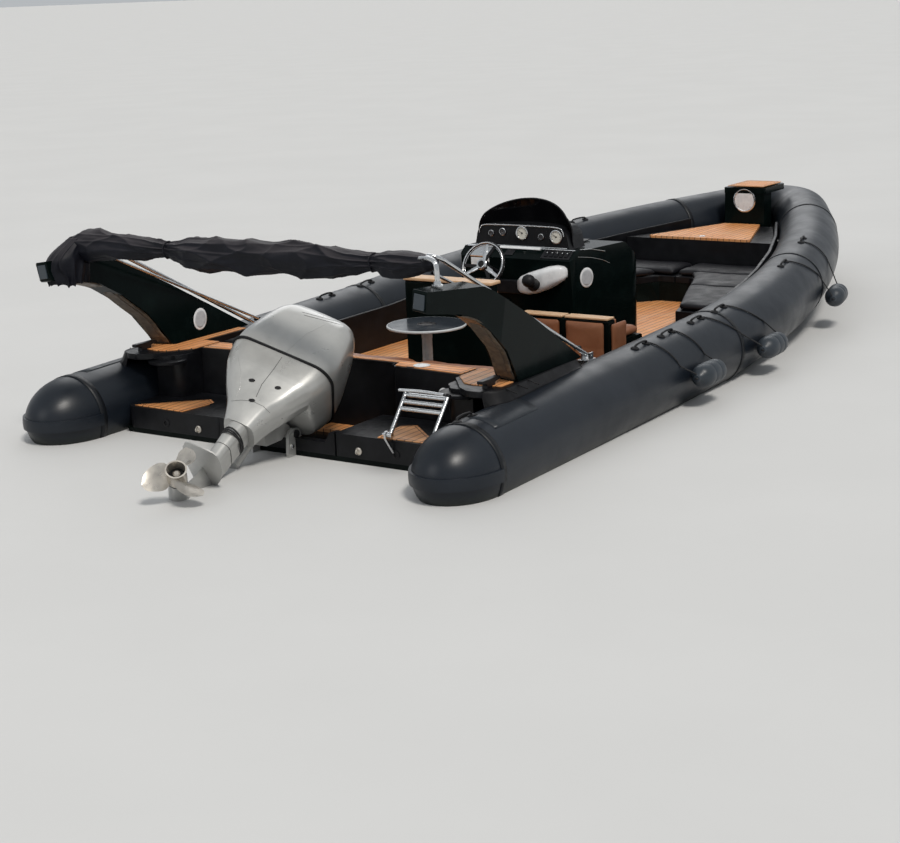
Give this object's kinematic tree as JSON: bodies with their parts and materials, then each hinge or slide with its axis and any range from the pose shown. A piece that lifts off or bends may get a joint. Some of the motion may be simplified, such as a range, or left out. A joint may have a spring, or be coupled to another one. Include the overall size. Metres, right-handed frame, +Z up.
{
  "type": "inflatable RIB boat",
  "caption": "Rigid inflatable boat with a centre console, arch fins, folded sunshade, boarding ladder and an outboard motor tilted out of the water.",
  "frame": {"origin": "in the waterline plane, midway between the tubes, in the plane of the transom's aft face", "axes": "+X to the bow, +Y to port, +Z up"},
  "size_m": [8.7418, 3.5438, 1.7335],
  "materials": {
    "black_hull": "gloss",
    "black_moulding": "satin",
    "gloss_black": "gloss",
    "tube_fabric": "satin",
    "teak_deck": "satin",
    "grey_cushion": "matte",
    "brown_cushion": "satin",
    "smoked_screen": "gloss",
    "table_top": "gloss",
    "fender_vinyl": "satin",
    "canopy_cloth": "matte",
    "stainless": "polished",
    "motor_paint": "gloss"
  },
  "bodies": {
    "boat": {"hull": "black_hull", "cockpit_sole": "teak_deck", "liner_aft_port": "black_moulding", "liner_aft_starboard": "black_moulding", "liner_fore_port": "black_moulding", "liner_fore_starboard": "black_moulding", "transom_wall": "black_moulding", "platform_port": "black_moulding", "platform_starboard": "black_moulding", "aft_bulkhead": "black_moulding", "side_deck_port": "black_moulding", "side_deck_starboard": "black_moulding", "tube_aft_port": "tube_fabric", "tube_aft_starboard": "tube_fabric", "cone_port": "tube_fabric", "cone_starboard": "tube_fabric", "tube_forward_port": "tube_fabric", "tube_forward_starboard": "tube_fabric", "tube_bow": "tube_fabric", "fin_port": "gloss_black", "fin_starboard": "gloss_black", "bollards": "black_moulding", "bow_seat_port": "black_moulding", "bow_seat_starboard": "black_moulding", "bow_cushions": "grey_cushion", "bow_box": "black_moulding", "bow_step": "gloss_black", "console": "gloss_black", "gauge_pod": "black_moulding", "windscreen": "smoked_screen", "wheel_column": "black_moulding", "helm_seat": "gloss_black", "helm_cushion": "brown_cushion", "companion_seat": "gloss_black", "companion_cushion": "brown_cushion", "aft_bench": "black_moulding", "bench_cushion": "brown_cushion", "table": "table_top", "fenders": "fender_vinyl", "sunshade_mounts": "stainless", "ladder_brackets": "stainless", "clamp_bracket": "motor_paint"},
    "bow_lid_body": {"bow_lid": "teak_deck"},
    "wheel_body": {"steering_wheel": "black_moulding"},
    "sunshade": {"sunshade_bow": "stainless", "sunshade_boot": "canopy_cloth"},
    "ladder_body": {"ladder": "stainless"},
    "swivel": {"swivel_bracket": "motor_paint"},
    "motor": {"motor_leg": "motor_paint", "motor_pan": "motor_paint", "motor_cowl": "motor_paint"},
    "screw": {"propeller": "stainless"}
  },
  "joints": [
    {"name": "bow_lid_hinge", "type": "hinge", "parent": "boat", "child": "bow_lid_body", "pos_m": [6.51327, 0, 0.49], "axis": [0, 1, 0], "range_deg": [0, 78]},
    {"name": "wheel_turn", "type": "hinge", "parent": "boat", "child": "wheel_body", "pos_m": [2.5, 0.13, 0.725], "axis": [-0.9063, 0, 0.4226], "range_deg": [-80, 1240]},
    {"name": "sunshade_swing", "type": "hinge", "parent": "boat", "child": "sunshade", "pos_m": [1.42, 0, 0.41505], "axis": [0, 1, 0], "range_deg": [0, 100]},
    {"name": "ladder_swing", "type": "hinge", "parent": "boat", "child": "ladder_body", "pos_m": [-0.062, -1.01, 0.215], "axis": [0, -1, 0], "range_deg": [0, 210]},
    {"name": "motor_tilt", "type": "hinge", "parent": "boat", "child": "swivel", "pos_m": [-0.005, 0, 0.13], "axis": [0, 1, 0], "range_deg": [-58, 0]},
    {"name": "motor_steer", "type": "hinge", "parent": "swivel", "child": "motor", "pos_m": [-0.07389, 0, 0.24025], "axis": [0.848, 0, 0.5299], "range_deg": [-51, 3]},
    {"name": "propeller_spin", "type": "hinge", "parent": "motor", "child": "screw", "pos_m": [-1.01201, -0.15049, 0.05262], "axis": [-0.4841, -0.4068, 0.7747], "continuous": true}
  ],
  "couplings": [
    {"joint": "wheel_turn", "follows": "motor_steer", "ratio": -24}
  ]
}
